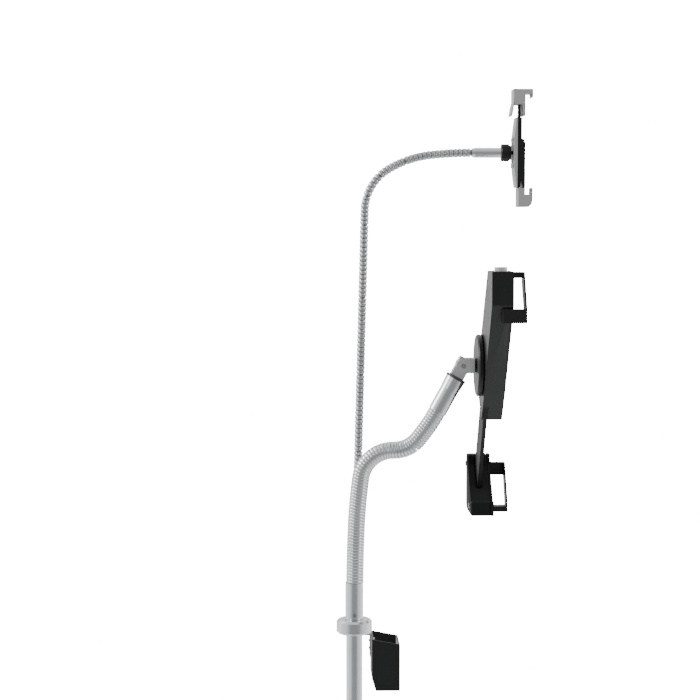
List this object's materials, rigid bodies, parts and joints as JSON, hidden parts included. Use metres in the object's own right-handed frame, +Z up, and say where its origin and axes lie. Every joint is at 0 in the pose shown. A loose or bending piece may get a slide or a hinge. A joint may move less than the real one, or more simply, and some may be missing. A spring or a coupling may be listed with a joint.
{
  "type": "adjustable tablet floor stand",
  "caption": "Floor stand on a round base with a sliding pole, a ribbed flexible neck carrying a corner-gripping tablet holder and a slim flexible neck carrying a sprung clamp.",
  "frame": {"origin": "middle of the underside of the floor base, under the pole", "axes": "+Z up along the pole, +X the way the holders face, +Y away from the picture's camera"},
  "size_m": [0.3538, 0.34, 1.5044],
  "materials": {
    "chrome": "polished",
    "screw_steel": "satin",
    "powder_coat": "fine texture",
    "foam_sheet": "matte",
    "soft_pad": "matte",
    "nylon": "satin",
    "grey_plastic": "satin",
    "black_plastic": "satin"
  },
  "bodies": {
    "stand": {"base_pad": "foam_sheet", "base_plate": "powder_coat", "pole_socket": "powder_coat", "base_screws": "screw_steel", "lower_pole": "chrome", "height_collet": "black_plastic"},
    "height_lock": {"height_lock": "black_plastic"},
    "mast": {"upper_pole": "chrome", "pole_bush": "nylon", "neck_socket": "chrome", "neck_set_screw": "screw_steel"},
    "accessory": {"accessory_collar": "chrome", "collar_screw": "screw_steel", "slim_ferrule": "chrome", "pocket_bracket": "screw_steel", "pocket": "black_plastic", "pocket_screws": "screw_steel"},
    "rib_1": {"rib_link_1": "chrome"},
    "rib_2": {"rib_link_2": "chrome"},
    "rib_3": {"rib_link_3": "chrome"},
    "rib_4": {"rib_link_4": "chrome"},
    "rib_5": {"rib_link_5": "chrome"},
    "rib_6": {"rib_link_6": "chrome"},
    "rib_7": {"rib_link_7": "chrome"},
    "rib_8": {"rib_link_8": "chrome"},
    "head": {"head_sleeve": "chrome", "tilt_tongue": "chrome", "tilt_bolt": "screw_steel"},
    "tilt": {"tilt_fork": "chrome", "swivel_hub": "black_plastic"},
    "holder": {"swivel_disc": "black_plastic", "housing_back": "black_plastic", "housing_front": "black_plastic", "holder_pad": "soft_pad", "holder_screws": "screw_steel", "top_claw": "black_plastic"},
    "lock": {"corner_lock": "chrome"},
    "grip": {"slide_bar": "black_plastic", "bottom_bracket": "black_plastic", "bottom_cover": "black_plastic", "bracket_screws": "screw_steel", "bottom_claw": "black_plastic"},
    "bead_1": {"bead_link_1": "chrome"},
    "bead_2": {"bead_link_2": "chrome"},
    "bead_3": {"bead_link_3": "chrome"},
    "bead_4": {"bead_link_4": "chrome"},
    "bead_5": {"bead_link_5": "chrome"},
    "bead_6": {"bead_link_6": "chrome"},
    "bead_7": {"bead_link_7": "chrome"},
    "bead_8": {"bead_link_8": "chrome"},
    "bead_9": {"bead_link_9": "chrome"},
    "slim_tip": {"slim_sleeve": "chrome"},
    "nut": {"ball_nut": "black_plastic"},
    "ball": {"ball_stud": "black_plastic"},
    "clamp": {"clamp_body": "black_plastic", "clamp_cover": "grey_plastic", "clamp_screws": "screw_steel", "lower_jaw": "grey_plastic"},
    "jaw": {"jaw_slider": "black_plastic", "upper_jaw": "grey_plastic"}
  },
  "joints": [
    {"name": "height_lock_turn", "type": "hinge", "parent": "stand", "child": "height_lock", "pos_m": [0, 0, 0.62], "axis": [0, 0, 1], "range_deg": [0, 90]},
    {"name": "height_slide", "type": "slide", "parent": "stand", "child": "mast", "axis": [0, 0, 1], "range_m": [-0.19, 0.15]},
    {"name": "collar_turn", "type": "hinge", "parent": "mast", "child": "accessory", "pos_m": [0, 0, 0.95], "axis": [0, 0, 1], "range_deg": [-20, 60]},
    {"name": "tablet_bend", "type": "hinge", "parent": "mast", "child": "rib_1", "pos_m": [0.00062, 0, 0.99755], "axis": [0, -1, 0], "range_deg": [-1.5, 4]},
    {"name": "tablet_bend_2", "type": "hinge", "parent": "rib_1", "child": "rib_2", "pos_m": [0.00176, 0, 1.04554], "axis": [0, -1, 0], "range_deg": [-1.5, 4]},
    {"name": "tablet_bend_3", "type": "hinge", "parent": "rib_2", "child": "rib_3", "pos_m": [0.00416, 0, 1.08345], "axis": [0, -1, 0], "range_deg": [-1.5, 4]},
    {"name": "tablet_bend_4", "type": "hinge", "parent": "rib_3", "child": "rib_4", "pos_m": [0.00681, 0, 1.10529], "axis": [0, -1, 0], "range_deg": [-4.05, 10.8]},
    {"name": "tablet_bend_5", "type": "hinge", "parent": "rib_4", "child": "rib_5", "pos_m": [0.01433, 0, 1.12141], "axis": [0, -1, 0], "range_deg": [-4.5, 12]},
    {"name": "tablet_bend_6", "type": "hinge", "parent": "rib_5", "child": "rib_6", "pos_m": [0.02902, 0, 1.13144], "axis": [0, -1, 0], "range_deg": [-4.05, 10.8]},
    {"name": "tablet_bend_7", "type": "hinge", "parent": "rib_6", "child": "rib_7", "pos_m": [0.05068, 0, 1.1347], "axis": [0, -1, 0], "range_deg": [-10.8, 4.05]},
    {"name": "tablet_bend_8", "type": "hinge", "parent": "rib_7", "child": "rib_8", "pos_m": [0.06804, 0, 1.14756], "axis": [0, -1, 0], "range_deg": [-10.8, 4.05]},
    {"name": "tablet_bend_9", "type": "hinge", "parent": "rib_8", "child": "head", "pos_m": [0.08488, 0, 1.17235], "axis": [0, -1, 0], "range_deg": [-6, 2.25]},
    {"name": "tablet_tilt", "type": "hinge", "parent": "head", "child": "tilt", "pos_m": [0.1118, 0, 1.22088], "axis": [0, 1, 0], "range_deg": [-60, 20]},
    {"name": "tablet_spin", "type": "hinge", "parent": "tilt", "child": "holder", "pos_m": [0.1253, 0, 1.22088], "axis": [1, 0, 0], "range_deg": [-90, 90]},
    {"name": "corner_lock_turn", "type": "hinge", "parent": "holder", "child": "lock", "pos_m": [0.14205, -0.0725, 1.31988], "axis": [0, 0, 1], "range_deg": [0, 90]},
    {"name": "grip_slide", "type": "slide", "parent": "holder", "child": "grip", "axis": [0, -0.5868, 0.8097], "range_m": [-0.03, 0.04]},
    {"name": "clamp_bend_1", "type": "hinge", "parent": "accessory", "child": "bead_1", "pos_m": [0.00055, 0.02, 0.9674], "axis": [0, -1, 0], "range_deg": [-0.53, 14.2]},
    {"name": "clamp_bend_2", "type": "hinge", "parent": "bead_1", "child": "bead_2", "pos_m": [0.00272, 0.02, 1.05037], "axis": [0, -1, 0], "range_deg": [-0.53, 14.2]},
    {"name": "clamp_bend_3", "type": "hinge", "parent": "bead_2", "child": "bead_3", "pos_m": [0.00482, 0.02, 1.13034], "axis": [0, -1, 0], "range_deg": [-0.53, 14.2]},
    {"name": "clamp_bend_4", "type": "hinge", "parent": "bead_3", "child": "bead_4", "pos_m": [0.00691, 0.02, 1.21032], "axis": [0, -1, 0], "range_deg": [-0.53, 14.2]},
    {"name": "clamp_bend_5", "type": "hinge", "parent": "bead_4", "child": "bead_5", "pos_m": [0.00901, 0.02, 1.29029], "axis": [0, -1, 0], "range_deg": [-0.53, 14.2]},
    {"name": "clamp_bend", "type": "hinge", "parent": "bead_5", "child": "bead_6", "pos_m": [0.01097, 0.02, 1.36526], "axis": [0, -1, 0], "range_deg": [-0.8, 21.3]},
    {"name": "clamp_bend_7", "type": "hinge", "parent": "bead_6", "child": "bead_7", "pos_m": [0.01394, 0.02, 1.39498], "axis": [0, -1, 0], "range_deg": [-0.8, 21.3]},
    {"name": "clamp_bend_8", "type": "hinge", "parent": "bead_7", "child": "bead_8", "pos_m": [0.02722, 0.02, 1.41587], "axis": [0, -1, 0], "range_deg": [-0.8, 21.3]},
    {"name": "clamp_bend_9", "type": "hinge", "parent": "bead_8", "child": "bead_9", "pos_m": [0.05307, 0.02, 1.43072], "axis": [0, -1, 0], "range_deg": [-0.8, 21.3]},
    {"name": "clamp_bend_10", "type": "hinge", "parent": "bead_9", "child": "slim_tip", "pos_m": [0.12116, 0.02, 1.43939], "axis": [0, -1, 0], "range_deg": [-0.8, 21.3]},
    {"name": "ball_nut_turn", "type": "hinge", "parent": "slim_tip", "child": "nut", "pos_m": [0.15616, 0.02, 1.43939], "axis": [1, 0, 0], "range_deg": [0, 180]},
    {"name": "clamp_tilt", "type": "hinge", "parent": "slim_tip", "child": "ball", "pos_m": [0.15736, 0.02, 1.43939], "axis": [0, 1, 0], "range_deg": [-12, 12]},
    {"name": "clamp_spin", "type": "hinge", "parent": "ball", "child": "clamp", "pos_m": [0.16456, 0.02, 1.43939], "axis": [1, 0, 0], "range_deg": [-90, 90]},
    {"name": "jaw_slide", "type": "slide", "parent": "clamp", "child": "jaw", "axis": [0, 0, 1], "range_m": [-0.01, 0.015]}
  ],
  "couplings": [
    {"joint": "tablet_bend_2", "follows": "tablet_bend", "ratio": 1},
    {"joint": "tablet_bend_3", "follows": "tablet_bend", "ratio": 1},
    {"joint": "tablet_bend_4", "follows": "tablet_bend", "ratio": 2.7},
    {"joint": "tablet_bend_5", "follows": "tablet_bend", "ratio": 3},
    {"joint": "tablet_bend_6", "follows": "tablet_bend", "ratio": 2.7},
    {"joint": "tablet_bend_7", "follows": "tablet_bend", "ratio": -2.7},
    {"joint": "tablet_bend_8", "follows": "tablet_bend", "ratio": -2.7},
    {"joint": "tablet_bend_9", "follows": "tablet_bend", "ratio": -1.5},
    {"joint": "clamp_bend_1", "follows": "clamp_bend", "ratio": 0.6667},
    {"joint": "clamp_bend_2", "follows": "clamp_bend", "ratio": 0.6667},
    {"joint": "clamp_bend_3", "follows": "clamp_bend", "ratio": 0.6667},
    {"joint": "clamp_bend_4", "follows": "clamp_bend", "ratio": 0.6667},
    {"joint": "clamp_bend_5", "follows": "clamp_bend", "ratio": 0.6667},
    {"joint": "clamp_bend_7", "follows": "clamp_bend", "ratio": 1},
    {"joint": "clamp_bend_8", "follows": "clamp_bend", "ratio": 1},
    {"joint": "clamp_bend_9", "follows": "clamp_bend", "ratio": 1},
    {"joint": "clamp_bend_10", "follows": "clamp_bend", "ratio": 1}
  ]
}
